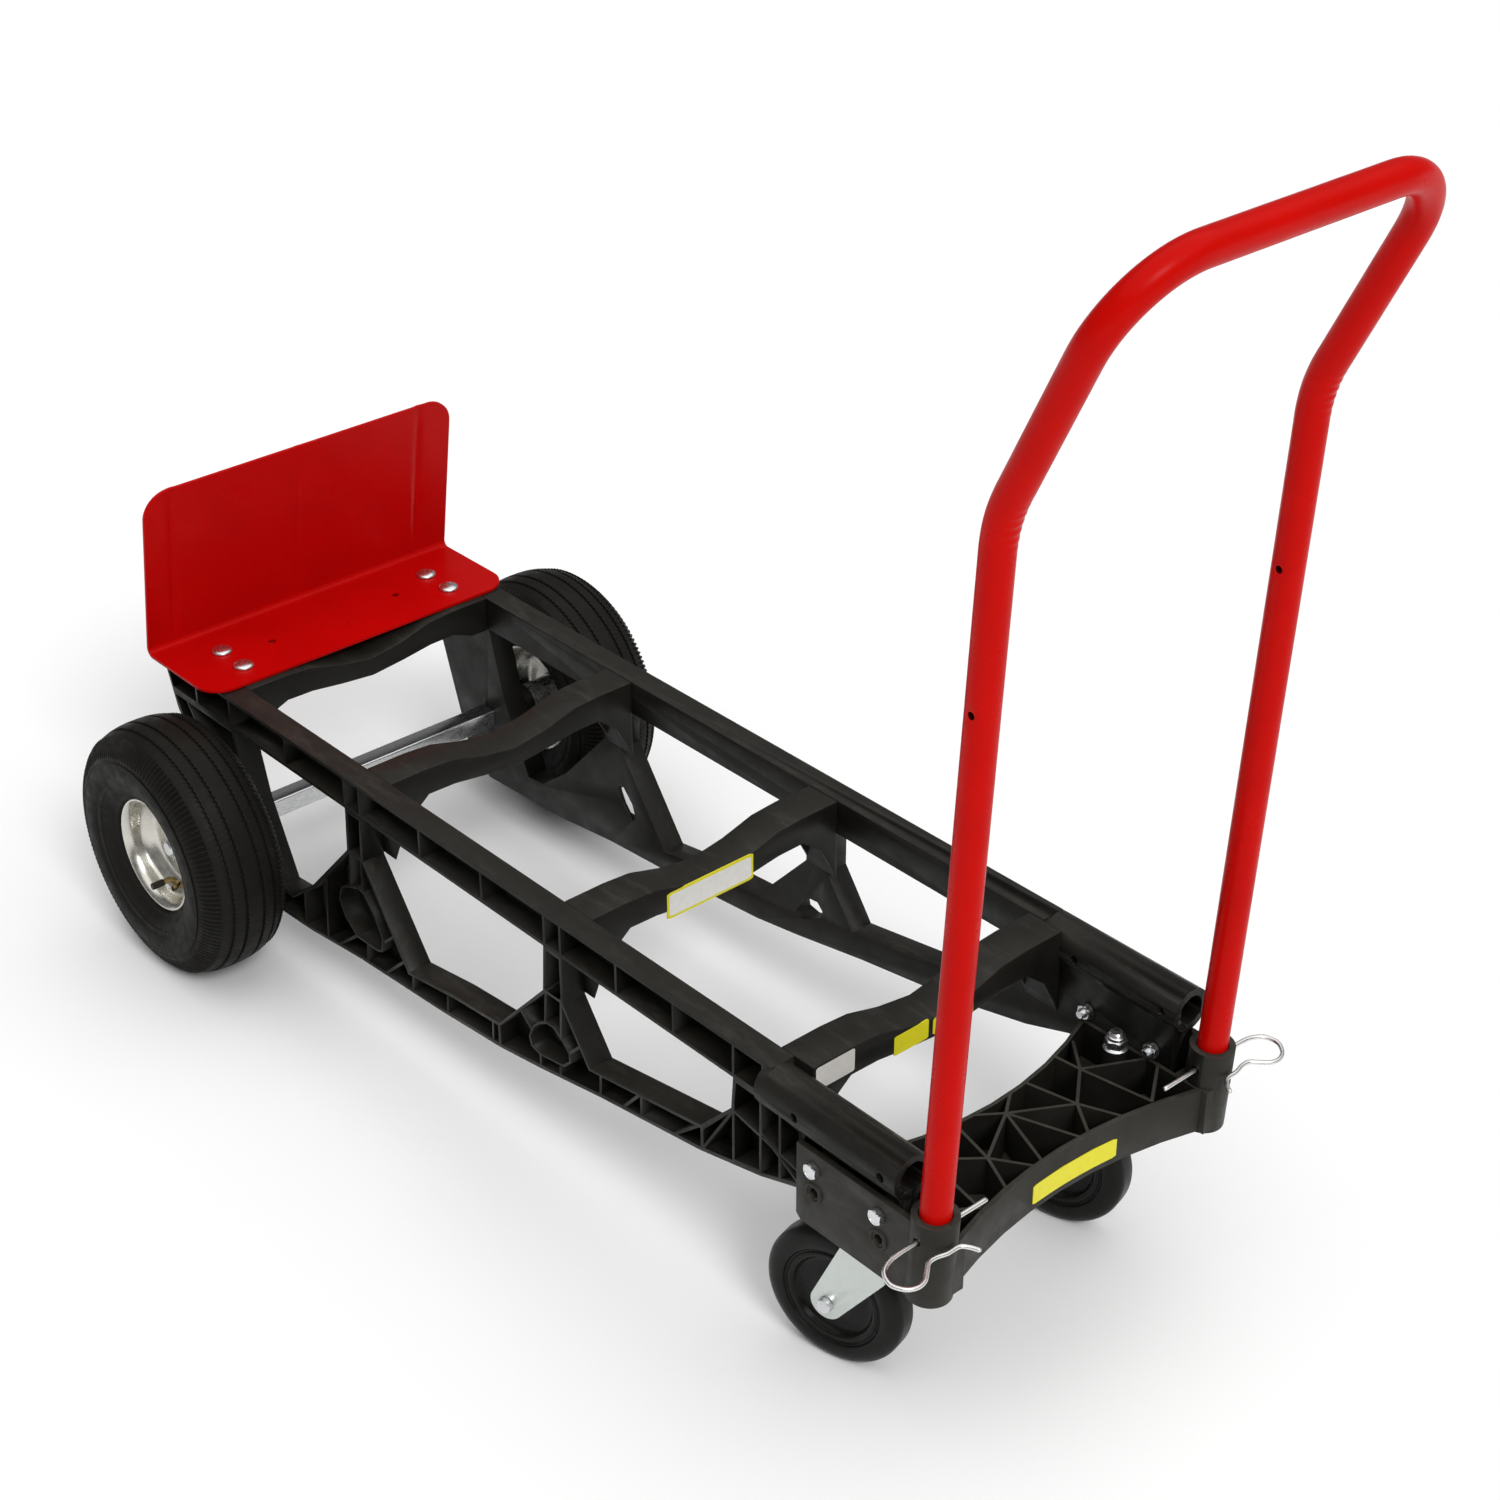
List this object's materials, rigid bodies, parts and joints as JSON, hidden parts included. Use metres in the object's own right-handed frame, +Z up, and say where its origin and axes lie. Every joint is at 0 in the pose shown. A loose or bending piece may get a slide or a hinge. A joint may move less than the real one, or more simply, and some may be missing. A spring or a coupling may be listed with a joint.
{
  "type": "convertible hand truck",
  "caption": "Moulded hand truck set up as a platform cart: ribbed frame, toe plate, pneumatic wheels, swivel casters and a tall push handle held by pull-out clips.",
  "frame": {"origin": "on the floor, under the centre of the bounding box", "axes": "+X from the toe plate to the push handle, +Y to the right of someone who stands behind the handle and faces the toe plate, +Z up"},
  "size_m": [1.2273, 0.5594, 1.0233],
  "materials": {
    "frame_plastic": "moulded, lightly textured, matte",
    "red_coat": "gloss powder coat",
    "zinc": "bright zinc plate",
    "rim_steel": "pressed and polished",
    "tyre_rubber": "moulded tread",
    "caster_rubber": "smooth moulded",
    "caster_core": "moulded",
    "brass": "plated, bright"
  },
  "bodies": {
    "truck": {"left_side_frame": "frame_plastic", "right_side_frame": "frame_plastic", "cross_member_toe": "frame_plastic", "cross_member_front": "frame_plastic", "cross_member_middle": "frame_plastic", "cross_member_rear": "frame_plastic", "end_frame": "frame_plastic", "toe_plate": "red_coat", "toe_bolt_left_1": "zinc", "toe_bolt_left_2": "zinc", "toe_nut_left_1": "zinc", "toe_nut_left_2": "zinc", "end_bolt_left_1": "zinc", "end_bolt_left_2": "zinc", "end_nut_left_1": "zinc", "end_nut_left_2": "zinc", "toe_bolt_right_1": "zinc", "toe_bolt_right_2": "zinc", "toe_nut_right_1": "zinc", "toe_nut_right_2": "zinc", "end_bolt_right_1": "zinc", "end_bolt_right_2": "zinc", "end_nut_right_1": "zinc", "end_nut_right_2": "zinc", "axle": "zinc", "axle_tube": "zinc", "split_pin_left": "zinc", "split_pin_right": "zinc", "caster_left_stem": "zinc", "caster_left_lock_nut": "zinc", "caster_right_stem": "zinc", "caster_right_lock_nut": "zinc", "handle": "red_coat"},
    "left_wheel": {"left_tyre": "tyre_rubber", "left_inner_tube": "tyre_rubber", "left_rim_outer": "rim_steel", "left_rim_inner": "rim_steel", "left_hub": "zinc", "left_bearing_outer": "zinc", "left_bearing_inner": "zinc", "left_valve": "brass"},
    "right_wheel": {"right_tyre": "tyre_rubber", "right_inner_tube": "tyre_rubber", "right_rim_outer": "rim_steel", "right_rim_inner": "rim_steel", "right_hub": "zinc", "right_bearing_outer": "zinc", "right_bearing_inner": "zinc", "right_valve": "brass"},
    "caster_left_swivel": {"caster_left_fork": "zinc", "caster_left_axle": "zinc"},
    "caster_left_wheel": {"caster_left_tread": "caster_rubber", "caster_left_wheel_core": "caster_core"},
    "caster_right_swivel": {"caster_right_fork": "zinc", "caster_right_axle": "zinc"},
    "caster_right_wheel": {"caster_right_tread": "caster_rubber", "caster_right_wheel_core": "caster_core"},
    "clip_left": {"clip_left": "zinc"},
    "clip_right": {"clip_right": "zinc"}
  },
  "joints": [
    {"name": "left_wheel_spin", "type": "hinge", "parent": "truck", "child": "left_wheel", "pos_m": [-0.4846, -0.2317, 0.129], "axis": [0, 1, 0], "continuous": true},
    {"name": "right_wheel_spin", "type": "hinge", "parent": "truck", "child": "right_wheel", "pos_m": [-0.4846, 0.2317, 0.129], "axis": [0, 1, 0], "continuous": true},
    {"name": "caster_left_turn", "type": "hinge", "parent": "truck", "child": "caster_left_swivel", "pos_m": [0.402, -0.1316, 0.145], "axis": [0, 0, 1], "continuous": true},
    {"name": "caster_left_roll", "type": "hinge", "parent": "caster_left_swivel", "child": "caster_left_wheel", "pos_m": [0.36028, -0.142, 0.065], "axis": [-0.2419, 0.9703, 0], "continuous": true},
    {"name": "caster_right_turn", "type": "hinge", "parent": "truck", "child": "caster_right_swivel", "pos_m": [0.402, 0.1316, 0.145], "axis": [0, 0, 1], "continuous": true},
    {"name": "caster_right_roll", "type": "hinge", "parent": "caster_right_swivel", "child": "caster_right_wheel", "pos_m": [0.36028, 0.1212, 0.065], "axis": [-0.2419, 0.9703, 0], "continuous": true},
    {"name": "clip_left_pull", "type": "slide", "parent": "truck", "child": "clip_left", "axis": [0, -1, 0], "range_m": [0, 0.08]},
    {"name": "clip_right_pull", "type": "slide", "parent": "truck", "child": "clip_right", "axis": [0, 1, 0], "range_m": [0, 0.08]}
  ]
}
